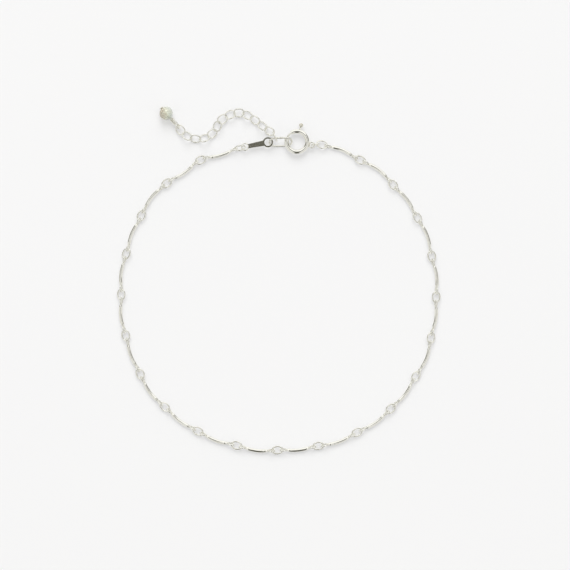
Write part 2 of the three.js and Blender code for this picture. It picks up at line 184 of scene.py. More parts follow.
def make_silver_wear():
    """Node group: cloudy tone and tarnish, solder colour, roughness and fine polishing marks."""
    group = bpy.data.node_groups.new("silver_wear", "ShaderNodeTree")
    sockets = group.interface
    for name in ("Tarnish", "Solder", "Dullness"):
        sockets.new_socket(name, in_out="INPUT", socket_type="NodeSocketFloat")
    sockets.new_socket("Color", in_out="OUTPUT", socket_type="NodeSocketColor")
    sockets.new_socket("Roughness", in_out="OUTPUT", socket_type="NodeSocketFloat")
    sockets.new_socket("Marks", in_out="OUTPUT", socket_type="NodeSocketFloat")
    nodes, link = group.nodes, group.links.new
    given = nodes.new("NodeGroupInput")
    result = nodes.new("NodeGroupOutput")
    place = nodes.new("ShaderNodeTexCoord").outputs["Object"]

    def noise(scale, detail, distortion):
        node = nodes.new("ShaderNodeTexNoise")
        node.inputs["Scale"].default_value = scale
        node.inputs["Detail"].default_value = detail
        node.inputs["Distortion"].default_value = distortion
        link(place, node.inputs["Vector"])
        return node.outputs["Fac"]

    def mapped(value, band, share):
        node = nodes.new("ShaderNodeMapRange")
        node.interpolation_type = "SMOOTHSTEP"
        for socket, number in zip(("From Min", "From Max", "To Min", "To Max"), (*band, *share)):
            node.inputs[socket].default_value = number
        link(value, node.inputs["Value"])
        return node.outputs["Result"]

    def times(first, second):
        node = nodes.new("ShaderNodeMath")
        node.operation = "MULTIPLY"
        link(first, node.inputs[0])
        link(second, node.inputs[1])
        return node.outputs["Value"]

    def blended(share, first, second):
        node = nodes.new("ShaderNodeMix")
        node.data_type = "RGBA"
        link(share, node.inputs["Factor"])
        for socket, colour in (("A", first), ("B", second)):
            target = next(s for s in node.inputs if s.name == socket and s.type == "RGBA")
            if isinstance(colour, tuple):
                target.default_value = colour
            else:
                link(colour, target)
        return next(s for s in node.outputs if s.type == "RGBA")

    clouds = noise(scale=620, detail=5, distortion=0.6)
    specks = noise(scale=5200, detail=6, distortion=1.4)
    tarnish = times(mapped(clouds, TARNISH_BAND, TARNISH_SHARE), given.outputs["Tarnish"])
    tone = blended(tarnish, BRIGHT_SILVER, WARM_TARNISH)
    soldered = times(mapped(specks, SOLDER_BAND, SOLDER_SHARE), given.outputs["Solder"])
    link(blended(soldered, tone, SOLDER_TONE), result.inputs["Color"])

    dull = times(mapped(specks, DULL_BAND, DULL_SHARE), given.outputs["Dullness"])
    link(dull, result.inputs["Roughness"])
    link(specks, result.inputs["Marks"])
    return group


silver_wear = make_silver_wear()


def polished_silver(name, tarnish, dullness, mark_depth):
    """Sterling silver: metallic, with its own share of tarnish, dullness and depth of polishing marks."""
    material = bpy.data.materials.new(name)
    material.use_nodes = True
    nodes, link = material.node_tree.nodes, material.node_tree.links.new
    shader = nodes["Principled BSDF"]
    shader.inputs["Metallic"].default_value = 1.0
    wear = nodes.new("ShaderNodeGroup")
    wear.node_tree = silver_wear
    wear.inputs["Tarnish"].default_value = tarnish
    wear.inputs["Dullness"].default_value = dullness
    solder = nodes.new("ShaderNodeAttribute")
    solder.attribute_name = "solder"
    link(solder.outputs["Fac"], wear.inputs["Solder"])
    link(wear.outputs["Color"], shader.inputs["Base Color"])
    link(wear.outputs["Roughness"], shader.inputs["Roughness"])
    bump = nodes.new("ShaderNodeBump")
    bump.inputs["Strength"].default_value = MARK_STRENGTH
    bump.inputs["Distance"].default_value = mark_depth / MM_PER_METRE
    link(wear.outputs["Marks"], bump.inputs["Height"])
    link(bump.outputs["Normal"], shader.inputs["Normal"])
    return material


def lay(start, end, roll_deg=0.0):
    """The place of a piece made along X, laid from one point to another and rolled about that line."""
    along = (end - start).normalized()
    side = Vector((0, 0, 1)).cross(along).normalized()
    turned = Matrix((along, side, along.cross(side))).transposed().to_4x4()
    rolled = turned @ Matrix.Rotation(math.radians(roll_deg), 4, "X")
    return Matrix.Translation((start + end) / 2) @ rolled


def set_down(pattern, name, place, material):
    """A copy of a pattern with its own mesh, carried from the bench to its place in the frame."""
    bpy.ops.object.select_all(action="DESELECT")
    pattern.select_set(True)
    bpy.context.view_layer.objects.active = pattern
    bpy.ops.object.duplicate(linked=False)
    piece = bpy.context.object
    piece.name = name
    piece.data.name = name
    piece.matrix_world = BENCH_TO_FRAME @ place
    bpy.ops.object.transform_apply(location=True, rotation=True, scale=True)
    piece.data.materials.clear()
    piece.data.materials.append(material)
    return piece


def clear_away(*patterns):
    """Take patterns and tools off the bench once they are used."""
    for pattern in patterns:
        bpy.data.objects.remove(pattern, do_unlink=True)


def loop_point(share):
    """A point of the loop as it lies, nearly round, at a share of the angle that the chain covers."""
    angle = math.radians(CHAIN_START_DEG - CHAIN_SWEEP_DEG * share)
    shape = LOOP_WIDENING * math.cos(2 * angle) - LOOP_SQUARING * math.cos(4 * angle)
    ends = LOOP_START_RISE * (1 - share) ** LOOP_END_POWER - LOOP_END_SAG * share ** LOOP_END_POWER
    radius = LOOP_RADIUS + shape + ends
    return Vector((radius * math.cos(angle), radius * math.sin(angle), 0))


def spaced_along(curve, count):
    """Points at equal distances along a curve, with its direction at each, and the whole length."""
    points = [curve(i / CURVE_SAMPLES) for i in range(CURVE_SAMPLES + 1)]
    reached = [0.0]
    for before, after in zip(points, points[1:]):
        reached.append(reached[-1] + (after - before).length)
    spots = []
    step = 0
    for i in range(count + 1):
        wanted = reached[-1] * i / count
        while step < CURVE_SAMPLES - 1 and reached[step + 1] < wanted:
            step += 1
        along = points[step + 1] - points[step]
        spots.append((points[step] + along.normalized() * (wanted - reached[step]), along.normalized()))
    return spots, reached[-1]


ring_spots, _ = spaced_along(loop_point, BAR_COUNT)
ring_reach = (RING_LENGTH - RING_WIRE) / 2
ring_ends = []
for number, (spot, along) in enumerate(ring_spots):
    sway = Matrix.Rotation(math.radians(RING_SWAY_DEG * math.sin(SWAY_STEP * number)), 3, "Z")
    reach = sway @ along * ring_reach
    ring_ends.append((spot - reach, spot + reach))
bar_span = sum((ring_ends[i + 1][0] - ring_ends[i][1]).length for i in range(BAR_COUNT)) / BAR_COUNT

# The bow of a bar sets the height at which the rings ride.
BAR_ROD = 0.88
BAR_BOW_RADIUS = 8.8
BAR_ROLL_DEG = 25
EYE_LENGTH = 1.8
EYE_WIDTH = 1.43
EYE_WIRE = 0.36
EYE_SOLDER = 0.22
EYE_TURN = math.radians(8)
eye_seat = EYE_LENGTH / 2 - EYE_WIRE - CHAIN_GAP - RING_WIRE / 2
eye_reach = EYE_LENGTH / 2 - EYE_SOLDER + eye_seat
bow_half_angle = math.asin((bar_span / 2 - eye_reach * math.cos(EYE_TURN)) / BAR_BOW_RADIUS)
bow_depth = BAR_BOW_RADIUS * (1 - math.cos(bow_half_angle)) + eye_reach * math.sin(EYE_TURN)
chain_height = bow_depth * math.sin(math.radians(BAR_ROLL_DEG)) + BAR_ROD / 2
for near, far in ring_ends:
    near.z = chain_height
    far.z = chain_height
ring_ends[0][0].z += FIRST_RING_LIFT
ring_ends[BAR_COUNT][1].z += LAST_RING_LIFT


def ring_roll_deg(number):
    """A ring leans as the bars beside it do, a little more or less from one to the next."""
    if number == BAR_COUNT:
        return LAST_RING_ROLL_DEG
    sides = [1 if bar in INWARD_BARS else -1 for bar in (number, number + 1)]
    return RING_LEAN_DEG * sum(sides) / 2 + RING_ROLL_DEG * math.sin(ROLL_STEP * number)


ring_silver = polished_silver("ring_silver", tarnish=0.30, dullness=0.10, mark_depth=0.004)
ring_pattern = bent_oval("ring_pattern", RING_LENGTH, RING_WIDTH, RING_WIRE)
for number, (near, far) in enumerate(ring_ends):
    place = lay(near, far, ring_roll_deg(number))
    ring = set_down(ring_pattern, f"oval_ring_{number + 1:02d}", place, ring_silver)
    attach(ring, "anklet")
    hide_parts(f"ring_{number + 1:02d}")
clear_away(ring_pattern)


# Bowed bars. Each is a round silver rod drawn down at both tips, bent to an even bow, with a standing wire
# eye soldered on each tip. They lean until their bellies meet the table, and the last two bow inward.
BAR_TIP = 0.5
BAR_TAPER = 0.75
ROD_SIDES = 24
ROD_STEPS = 10
TAPER_STEPS = 4
SOLDER_DROP = 0.27
SOLDER_REACH = 0.42
DROP_SEGMENTS = 20
DROP_RINGS = 12
TIP_DROP_SHAPE = (1.2, 1.0, 1.25, 1)
CREASE = math.radians(38)


def combine(base, tool, operation):
    """Join a tool to a closed body, or cut it out of it."""
    change = base.modifiers.new("combine", "BOOLEAN")
    change.operation = operation
    change.solver = "EXACT"
    change.object = tool
    bpy.context.view_layer.objects.active = base
    bpy.ops.object.modifier_apply(modifier=change.name)
    clear_away(tool)


def turn_into_place(piece, place):
    """Turn, scale and move a mesh by a matrix."""
    bpy.ops.object.select_all(action="DESELECT")
    piece.select_set(True)
    bpy.context.view_layer.objects.active = piece
    piece.matrix_world = place
    bpy.ops.object.transform_apply(location=True, rotation=True, scale=True)


def smooth(piece):
    """Shade round shapes smooth and leave their creases sharp."""
    bpy.ops.object.select_all(action="DESELECT")
    piece.select_set(True)
    bpy.context.view_layer.objects.active = piece
    bpy.ops.object.shade_smooth_by_angle(angle=CREASE)


def solder_drop(place):
    """A drop of solder, shaped and set by a matrix."""
    bpy.ops.object.select_all(action="DESELECT")
    bpy.ops.mesh.primitive_uv_sphere_add(segments=DROP_SEGMENTS, ring_count=DROP_RINGS, radius=SOLDER_DROP)
    drop = bpy.context.object
    turn_into_place(drop, place)
    return drop


bow_centre = Vector((0, bow_depth - BAR_BOW_RADIUS, 0))


def on_bow(angle):
    """A point of the bar's middle line, at an angle from the middle of its bow."""
    return bow_centre + Vector((math.sin(angle), math.cos(angle), 0)) * BAR_BOW_RADIUS


bpy.ops.object.select_all(action="DESELECT")
bpy.ops.mesh.primitive_circle_add(
    vertices=ROD_SIDES, radius=BAR_ROD / 2, location=on_bow(0), rotation=(0, math.pi / 2, 0)
)
bar_pattern = bpy.context.object
bar_pattern.name = "bar_pattern"
bpy.ops.object.transform_apply(location=True, rotation=True, scale=True)
bpy.ops.object.mode_set(mode="EDIT")
bpy.ops.mesh.select_all(action="SELECT")
taper_angle = BAR_TAPER / BAR_BOW_RADIUS
shoulder = bow_half_angle - taper_angle
bpy.ops.mesh.spin(steps=ROD_STEPS, angle=shoulder, center=bow_centre, axis=(0, 0, 1))
drawn_to = 1.0
for step in range(1, TAPER_STEPS + 1):
    share = step / TAPER_STEPS
    bpy.ops.mesh.spin(steps=1, angle=taper_angle / TAPER_STEPS, center=bow_centre, axis=(0, 0, 1))
    thickness = 1 - (1 - BAR_TIP / BAR_ROD) * math.sin(share * math.pi / 2) ** 2
    shrink = thickness / drawn_to
    middle = on_bow(shoulder + taper_angle * share)
    bpy.ops.transform.resize(value=(shrink, shrink, shrink), center_override=middle)
    drawn_to = thickness
bpy.ops.mesh.edge_face_add()
bpy.ops.object.mode_set(mode="OBJECT")
other_half = bar_pattern.modifiers.new("other_half", "MIRROR")
other_half.merge_threshold = MERGE
bpy.ops.object.modifier_apply(modifier=other_half.name)
close_up(bar_pattern)

tip = on_bow(bow_half_angle)
for end in (-1, 1):
    drop_at = Matrix.Translation((end * tip.x, tip.y, 0))
    combine(bar_pattern, solder_drop(drop_at @ Matrix.Diagonal(TIP_DROP_SHAPE)), "UNION")
    eye = wire_ring("eye", EYE_LENGTH, EYE_WIDTH, EYE_WIRE)
    from_middle = bar_span / 2 - eye_seat * math.cos(EYE_TURN)
    stood = Matrix.Rotation(-end * EYE_TURN, 4, "Z") @ Matrix.Rotation(math.pi / 2, 4, "X")
    eye_at = Matrix.Translation((end * from_middle, eye_seat * math.sin(EYE_TURN), 0))
    turn_into_place(eye, eye_at @ stood)
    combine(bar_pattern, eye, "UNION")
smooth(bar_pattern)


def near_a_tip(place):
    return (Vector((abs(place.x), place.y, place.z)) - tip).length < SOLDER_REACH


mark_solder(bar_pattern, near_a_tip)

bar_silver = polished_silver("bar_silver", tarnish=0.16, dullness=0.07, mark_depth=0.003)
for number in range(BAR_COUNT):
    inward = number + 1 in INWARD_BARS
    roll_deg = BAR_ROLL_DEG - 180 if inward else -BAR_ROLL_DEG
    place = lay(ring_ends[number][1], ring_ends[number + 1][0], roll_deg)
    bar = set_down(bar_pattern, f"bowed_bar_{number + 1:02d}", place, bar_silver)
    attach(bar, "anklet")
    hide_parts(f"bar_{number + 1:02d}")
clear_away(bar_pattern)


# Clasp ring. The body of a spring ring clasp is silver tube bent nearly round, with rounded ends at its gap,
# a slot outside for the knob to run in, a bore for the spring and pin, and a small bail soldered outside.
CLASP_DIAMETER = 5.85
CLASP_TUBE = 1.1
CLASP_BORE = 0.78
GAP_FROM_DEG = 123
GAP_TO_DEG = 160
PIN_TAIL_DEG = 60
PIN_TIP_DEG = 169
PIN_TRAVEL_DEG = 47
BORE_MARGIN_DEG = 7
KNOB_DEG = 76
SLOT_WIDTH = 0.62
SLOT_MARGIN_DEG = 8
BAIL_DEG = -13
BAIL_DIAMETER = 1.6
BAIL_WIRE = 0.38
BAIL_REACH = 3.475
TUBE_SIDES = 32
BORE_SIDES = 24
STEP_DEG = 5
TUBE_END_ROUND = 0.09
ROUND_STEPS = 4
BAIL_DROP_SHAPE = (0.9, 1.7, 0.9, 1)
clasp_radius = (CLASP_DIAMETER - CLASP_TUBE) / 2


def round_section(diameter, sides):
    """A circle standing across the clasp's arc, at 0 degrees."""
    bpy.ops.object.select_all(action="DESELECT")
    bpy.ops.mesh.primitive_circle_add(
        vertices=sides, radius=diameter / 2, location=(clasp_radius, 0, 0), rotation=(math.pi / 2, 0, 0)
    )
    bpy.ops.object.transform_apply(location=True, rotation=True, scale=True)
    return bpy.context.object


def sweep(section, name, from_deg, to_deg, end_round=0.0):
    """Spin a standing section about Z from one angle to another, and close and round its two ends."""
    section.name = name
    turn_into_place(section, Matrix.Rotation(math.radians(from_deg), 4, "Z"))
    bpy.ops.object.mode_set(mode="EDIT")
    bpy.ops.mesh.select_all(action="SELECT")
    steps = math.ceil((to_deg - from_deg) / STEP_DEG)
    bpy.ops.mesh.spin(steps=steps, angle=math.radians(to_deg - from_deg), center=(0, 0, 0), axis=(0, 0, -1))
    for deg in (to_deg, from_deg):
        outward = Vector((-math.sin(math.radians(deg)), math.cos(math.radians(deg)), 0))
        middle = Vector((math.cos(math.radians(deg)), math.sin(math.radians(deg)), 0)) * clasp_radius

        def at_end(place):
            away = place - middle
            return abs(away.dot(outward)) < MERGE and away.length < CLASP_TUBE

        pick(section, at_end)
        bpy.ops.mesh.edge_face_add()
        if end_round:
            bpy.ops.mesh.select_mode(type="EDGE")
            bpy.ops.mesh.bevel(offset=end_round, segments=ROUND_STEPS, affect="EDGES")
    bpy.ops.object.mode_set(mode="OBJECT")
    close_up(section)
    return section


def on_clasp(radius, deg):
    """A point in the clasp's plane, from its centre."""
    angle = math.radians(deg)
    return Vector((radius * math.cos(angle), radius * math.sin(angle), 0))


tube = round_section(CLASP_TUBE, TUBE_SIDES)
clasp_ring = sweep(tube, "clasp_ring_pattern", GAP_TO_DEG, GAP_FROM_DEG + 360, TUBE_END_ROUND)
bail_at = on_clasp(BAIL_REACH, BAIL_DEG)
bail = wire_ring("bail", BAIL_DIAMETER, BAIL_DIAMETER, BAIL_WIRE)
turn_into_place(bail, Matrix.Translation(bail_at) @ Matrix.Rotation(math.radians(BAIL_DEG + 90), 4, "Z"))
combine(clasp_ring, bail, "UNION")
bail_foot = on_clasp(BAIL_REACH - (BAIL_DIAMETER - BAIL_WIRE) / 2, BAIL_DEG)
drop_shape = Matrix.Rotation(math.radians(BAIL_DEG), 4, "Z") @ Matrix.Diagonal(BAIL_DROP_SHAPE)
combine(clasp_ring, solder_drop(Matrix.Translation(bail_foot) @ drop_shape), "UNION")

spring_bore = round_section(CLASP_BORE, BORE_SIDES)
bore_start_deg = PIN_TAIL_DEG - PIN_TRAVEL_DEG - BORE_MARGIN_DEG
combine(clasp_ring, sweep(spring_bore, "bore", bore_start_deg, GAP_FROM_DEG + BORE_MARGIN_DEG), "DIFFERENCE")
tip_bore = round_section(CLASP_BORE, BORE_SIDES)
tip_bore_end_deg = PIN_TIP_DEG + BORE_MARGIN_DEG
combine(clasp_ring, sweep(tip_bore, "bore", GAP_TO_DEG - BORE_MARGIN_DEG, tip_bore_end_deg), "DIFFERENCE")

bpy.ops.object.select_all(action="DESELECT")
bpy.ops.mesh.primitive_plane_add(size=1, location=(clasp_radius + CLASP_TUBE / 2, 0, 0))
slot_section = bpy.context.object
slot_section.rotation_euler.x = math.pi / 2
slot_section.scale = (CLASP_TUBE, SLOT_WIDTH, 1)
bpy.ops.object.transform_apply(location=True, rotation=True, scale=True)
bpy.ops.object.mode_set(mode="EDIT")
bpy.ops.mesh.select_all(action="SELECT")
bpy.ops.mesh.delete(type="ONLY_FACE")
bpy.ops.object.mode_set(mode="OBJECT")
slot_from_deg = KNOB_DEG - PIN_TRAVEL_DEG - SLOT_MARGIN_DEG
combine(clasp_ring, sweep(slot_section, "slot", slot_from_deg, KNOB_DEG + SLOT_MARGIN_DEG), "DIFFERENCE")
smooth(clasp_ring)
mark_solder(clasp_ring, lambda place: (place - bail_foot).length < SOLDER_REACH)

clasp_silver = polished_silver("clasp_silver", tarnish=0.12, dullness=0.07, mark_depth=0.003)
clasp_place = Matrix.Translation(CLASP_CENTRE)
clasp_body = set_down(clasp_ring, "spring_ring_body", clasp_place, clasp_silver)
clear_away(clasp_ring)
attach(clasp_body, "anklet")
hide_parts("clasp_ring")


# Clasp trigger. A sprung pin of bent silver wire that closes the clasp's gap, with a short stem soldered
# through the slot and a ball knob on it for the thumbnail. It slides round inside the tube.
PIN_WIRE = 0.5
PIN_END_ROUND = 0.12
KNOB_BALL = 1.04
KNOB_REACH = 3.85
KNOB_SEGMENTS = 28
KNOB_RINGS = 18
KNOB_FLAT_FROM = 0.36
KNOB_FLAT_SHRINK = 0.9
STEM_WIRE = 0.4
stem_length = KNOB_REACH - clasp_radius

pin = sweep(round_section(PIN_WIRE, BORE_SIDES), "trigger_pattern", PIN_TAIL_DEG, PIN_TIP_DEG, PIN_END_ROUND)
bpy.ops.object.select_all(action="DESELECT")
bpy.ops.mesh.primitive_cylinder_add(vertices=BORE_SIDES, radius=STEM_WIRE / 2, depth=stem_length)
stem = bpy.context.object
outward = Matrix.Rotation(math.radians(KNOB_DEG), 4, "Z") @ Matrix.Rotation(math.pi / 2, 4, "Y")
turn_into_place(stem, Matrix.Translation(on_clasp(clasp_radius + stem_length / 2, KNOB_DEG)) @ outward)
combine(pin, stem, "UNION")
bpy.ops.object.select_all(action="DESELECT")
bpy.ops.mesh.primitive_uv_sphere_add(segments=KNOB_SEGMENTS, ring_count=KNOB_RINGS, radius=KNOB_BALL / 2)
knob = bpy.context.object
knob_at = on_clasp(KNOB_REACH, KNOB_DEG)
turn_into_place(knob, Matrix.Translation(knob_at) @ outward)
pick(knob, lambda place: (place - knob_at).dot(on_clasp(1, KNOB_DEG)) > KNOB_FLAT_FROM)
flat_end = on_clasp(KNOB_REACH + KNOB_FLAT_FROM, KNOB_DEG)
bpy.ops.transform.resize(value=[KNOB_FLAT_SHRINK] * 3, center_override=flat_end)
bpy.ops.object.mode_set(mode="OBJECT")
combine(pin, knob, "UNION")
smooth(pin)

trigger_silver = polished_silver("trigger_silver", tarnish=0.9, dullness=0.16, mark_depth=0.003)
trigger = set_down(pin, "spring_ring_trigger", clasp_place, trigger_silver)
clear_away(pin)
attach(trigger, "trigger")
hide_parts("clasp_trigger")


# Standing link. A small oval jump ring of the same bright silver wire, closed through the clasp's bail and
# the chain's first ring and soldered shut. It stands on edge between the two.
CLASP_LINK_WIDTH = 1.75
CLASP_LINK_WIRE = 0.36
LINK_STANDS_DEG = 90
bail_hole = bail_at + CLASP_CENTRE
first_near, first_far = ring_ends[0]
link_inset = RING_WIRE / 2 + CHAIN_GAP + CLASP_LINK_WIRE / 2
link_end = first_near + (first_far - first_near).normalized() * link_inset
link_length = (link_end - bail_hole).length + CLASP_LINK_WIRE
link_pattern = wire_ring("link_pattern", link_length, CLASP_LINK_WIDTH, CLASP_LINK_WIRE)
link_place = lay(bail_hole, link_end, LINK_STANDS_DEG)
standing_link = set_down(link_pattern, "standing_link", link_place, ring_silver)
clear_away(link_pattern)
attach(standing_link, "anklet")
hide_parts("clasp_link")


# Tag. A flat silver stamping with softly rounded edges, a wire eye soldered on its narrow end for the last
# ring, and a round ring stamped at the other for the joining ring. Its face is plain and polished flat.
TAG_RING_CENTRE = Vector((-2.46, 35.25, 1.2))
TAG_THICKNESS = 0.36
TAG_BODY_WIDTH = 1.36
TAG_NECK = 0.7
TAG_EYE_RADIUS = 0.95
TAG_EYE_WIRE = 0.32
TAG_RING_RADIUS = 1.2
TAG_RING_HOLE = 0.8
TAG_EDGE_ROUND = 0.07
TAG_SIDES = 64
CUT_PAST = 1.5
SHARP_EDGE = math.radians(60)
tag_eye_at = ring_ends[BAR_COUNT][1]
tag_half = (TAG_RING_CENTRE - tag_eye_at).length / 2


def disc(radius, depth, along):
    """A round disc in the tag's plane, at a place along it."""
    bpy.ops.object.select_all(action="DESELECT")
    bpy.ops.mesh.primitive_cylinder_add(
        vertices=TAG_SIDES, radius=radius, depth=depth, location=(along, 0, 0)
    )
    bpy.ops.object.transform_apply(location=True, rotation=True, scale=True)
    return bpy.context.object


def round_edges(piece, width):
    """Round the sharp edges of a piece."""
    edges = piece.modifiers.new("edges", "BEVEL")
    edges.width = width
    edges.segments = ROUND_STEPS
    edges.limit_method = "ANGLE"
    edges.angle_limit = SHARP_EDGE
    bpy.context.view_layer.objects.active = piece
    bpy.ops.object.modifier_apply(modifier=edges.name)


def keep_flats_flat(piece):
    """Let the large faces set the normals, so that flats beside rounded edges still shade flat."""
    flats = piece.modifiers.new("flats", "WEIGHTED_NORMAL")
    flats.keep_sharp = True
    bpy.context.view_layer.objects.active = piece
    bpy.ops.object.modifier_apply(modifier=flats.name)


bpy.ops.object.select_all(action="DESELECT")
bpy.ops.mesh.primitive_cube_add(size=1)
tag_pattern = bpy.context.object
turn_into_place(tag_pattern, Matrix.Diagonal((2 * tag_half, TAG_BODY_WIDTH, TAG_THICKNESS, 1)))
pick(tag_pattern, lambda place: place.x < 0)
bpy.ops.transform.resize(value=(1, TAG_NECK, 1), center_override=(-tag_half, 0, 0))
bpy.ops.object.mode_set(mode="OBJECT")
combine(tag_pattern, disc(TAG_RING_RADIUS, TAG_THICKNESS, tag_half), "UNION")
eye_middle = TAG_EYE_RADIUS - TAG_EYE_WIRE / 2
combine(tag_pattern, disc(eye_middle, TAG_THICKNESS * CUT_PAST, -tag_half), "DIFFERENCE")
combine(tag_pattern, disc(TAG_RING_HOLE, TAG_THICKNESS * CUT_PAST, tag_half), "DIFFERENCE")
round_edges(tag_pattern, TAG_EDGE_ROUND)
tag_eye = wire_ring("tag_eye", 2 * TAG_EYE_RADIUS, 2 * TAG_EYE_RADIUS, TAG_EYE_WIRE)
turn_into_place(tag_eye, Matrix.Translation((-tag_half, 0, 0)))
combine(tag_pattern, tag_eye, "UNION")
smooth(tag_pattern)
keep_flats_flat(tag_pattern)

tag_silver = polished_silver("tag_silver", tarnish=0.25, dullness=0.12, mark_depth=0.0004)
tag = set_down(tag_pattern, "plain_tag", lay(tag_eye_at, TAG_RING_CENTRE), tag_silver)
clear_away(tag_pattern)
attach(tag, "anklet")
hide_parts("tag")


# Joining ring. A long oval of thicker silver wire that the clasp hooks on. It holds the tag and the extender
# as well, and leans so that one long side passes over the clasp's tube and the other under it.
JOIN_WIDTH = 3.1
JOIN_WIRE = 0.45
JOIN_ROLL_DEG = 47
JOIN_SLACK = 0.2
join_inset = JOIN_WIRE / 2 + CHAIN_GAP
join_from = TAG_RING_CENTRE + Vector((TAG_RING_HOLE - join_inset, 0, 0))
join_to = CLASP_CENTRE - Vector((clasp_radius - CLASP_TUBE / 2 - join_inset - JOIN_SLACK, 0, 0))
join_length = (join_to - join_from).length + JOIN_WIRE
join_silver = polished_silver("join_silver", tarnish=0.20, dullness=0.34, mark_depth=0.004)
join_pattern = wire_ring("join_pattern", join_length, JOIN_WIDTH, JOIN_WIRE)
joining_ring = set_down(join_pattern, "joining_oval", lay(join_from, join_to, JOIN_ROLL_DEG), join_silver)
clear_away(join_pattern)
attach(joining_ring, "anklet")
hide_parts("joining_ring")


# Extender chain. Oval links of fine silver wire, each soldered shut through the last and turned from it,
# lying in a loose S from the joining ring to the bead.
EXTENDER_ROUTE = (
    (-0.55, 35.75, 2.45),
    (-1.4, 37.5, 1.0),
    (-3.2, 38.5, 0.9),
    (-5.2, 40.2, 0.9),
    (-9.0, 42.2, 0.9),
    (-13.4, 40.3, 0.9),
    (-14.3, 38.2, 0.9),
    (-16.1, 36.5, 0.9),
    (-19.0, 35.9, 0.9),
    (-21.8, 37.1, 0.9),
    (-23.2, 38.95, 0.9),
)
EXTENDER_LINKS = 14
EXTENDER_WIDTH = 2.3
EXTENDER_WIRE = 0.36
EXTENDER_SOLDER = 0.12
FIRST_LINK_ROLL_DEG = 90
LINK_ROLL_DEG = 29
LINK_SWAY_DEG = -9
route = [Vector(spot) for spot in EXTENDER_ROUTE]
route_line = [2 * route[0] - route[1], *route, 2 * route[-1] - route[-2]]


def extender_point(share):
    """A smooth curve through the route, its bends eased by the root of each stretch's length."""
    stretch = min(int(share * (len(route) - 1)), len(route) - 2)
    before, start, end, after = route_line[stretch:stretch + 4]
    lead, own, follow = (math.sqrt((b - a).length) for a, b in ((before, start), (start, end), (end, after)))
    leave = (start - before) / lead - (end - before) / (lead + own) + (end - start) / own
    arrive = (end - start) / own - (after - start) / (own + follow) + (after - end) / follow
    t = share * (len(route) - 1) - stretch
    rise = 3 * t ** 2 - 2 * t ** 3
    eased = leave * own * (t - 2 * t ** 2 + t ** 3) + arrive * own * (t ** 3 - t ** 2)
    return start * (1 - rise) + end * rise + eased


meetings, extender_length = spaced_along(extender_point, EXTENDER_LINKS)
meetings = [spot for spot, _ in meetings]
extender_pitch = extender_length / EXTENDER_LINKS
extender_link_length = extender_pitch + 2 * EXTENDER_WIRE - EXTENDER_SOLDER
link_pattern = wire_ring("link_pattern", extender_link_length, EXTENDER_WIDTH, EXTENDER_WIRE)
extender_silver = polished_silver("extender_silver", tarnish=0.10, dullness=0.33, mark_depth=0.004)
links = []
for number in range(EXTENDER_LINKS):
    turned = -LINK_ROLL_DEG if number % 2 else LINK_ROLL_DEG
    turned += LINK_SWAY_DEG * math.sin(SWAY_STEP * number)
    place = lay(meetings[number], meetings[number + 1], turned if number else FIRST_LINK_ROLL_DEG)
    links.append(set_down(link_pattern, f"link_{number + 1:02d}", place, extender_silver))
clear_away(link_pattern)
bpy.ops.object.select_all(action="DESELECT")
for link_piece in links:
    link_piece.select_set(True)
bpy.context.view_layer.objects.active = links[0]
bpy.ops.object.join()
extender = bpy.context.object
extender.name = "extender_links"
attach(extender, "anklet")
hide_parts("extender_chain")


# Bead. A small round stone, cut all over with flat facets whose meeting edges are polished soft, and drilled
# through for its pin. The stone is cloudy grey-green, with painted shade making it browner at one side and
# painted light making it paler at the other.
BEAD_DIAMETER = 3.15
BEAD_HOLE = 0.62
BEAD_CENTRE = Vector((-25.85, 41.9, 1.57))
FACET_SPLITS = 2
CORNER_CUT_PERCENT = 33
FACET_EDGE = 0.025
FACET_EDGE_STEPS = 2
# The brown tone is painted shade on the -X side of the stone and the pale tone is painted light on the +X
# side; the olive is the stone's own colour.
STONE_BROWN_PAINTED_SHADE = (0.74, 0.66, 0.53, 1)
STONE_OLIVE = (0.93, 0.93, 0.77, 1)
STONE_PALE_PAINTED_LIGHT = (0.92, 0.98, 0.93, 1)
PAINTED_SHADE_AT = 0.12
OLIVE_AT = 0.45
PAINTED_LIGHT_AT = 0.92
CLOUD_SCALE = 900
CLOUD_DETAIL = 4
CLOUD_DISTORTION = 0.8
STONE_IOR = 1.56
STONE_CLARITY = 0.55
POLISH_WEIGHT = 1.0
POLISH_ROUGHNESS = 0.03
STONE_ROUGHNESS = (0.18, 0.34)
past_meeting = (EXTENDER_WIRE - EXTENDER_SOLDER) / 2
last_along = (meetings[-1] - meetings[-2]).normalized()
loop_at = meetings[-1] + last_along * past_meeting
drop_reach = (loop_at - BEAD_CENTRE).length
drop_place = Matrix.Translation(BEAD_CENTRE - (BEAD_CENTRE + loop_at) / 2) @ lay(BEAD_CENTRE, loop_at)

bpy.ops.object.select_all(action="DESELECT")
bpy.ops.mesh.primitive_ico_sphere_add(subdivisions=FACET_SPLITS, radius=BEAD_DIAMETER / 2)
bead_pattern = bpy.context.object
bpy.ops.object.mode_set(mode="EDIT")
bpy.ops.mesh.select_all(action="SELECT")
bpy.ops.mesh.bevel(offset_type="PERCENT", offset_pct=CORNER_CUT_PERCENT, affect="VERTICES")
bpy.ops.object.mode_set(mode="OBJECT")
cut_radius = max(vertex.co.length for vertex in bead_pattern.data.vertices)
turn_into_place(bead_pattern, Matrix.Scale(BEAD_DIAMETER / 2 / cut_radius, 4))
bpy.ops.object.mode_set(mode="EDIT")
bpy.ops.mesh.select_all(action="SELECT")
bpy.ops.mesh.bevel(offset=FACET_EDGE, segments=FACET_EDGE_STEPS, affect="EDGES")
bpy.ops.object.mode_set(mode="OBJECT")
bpy.ops.object.select_all(action="DESELECT")
bpy.ops.mesh.primitive_cylinder_add(vertices=BORE_SIDES, radius=BEAD_HOLE / 2, depth=2 * BEAD_DIAMETER)
drill = bpy.context.object
turn_into_place(drill, Matrix.Rotation(math.pi / 2, 4, "Y"))
combine(bead_pattern, drill, "DIFFERENCE")

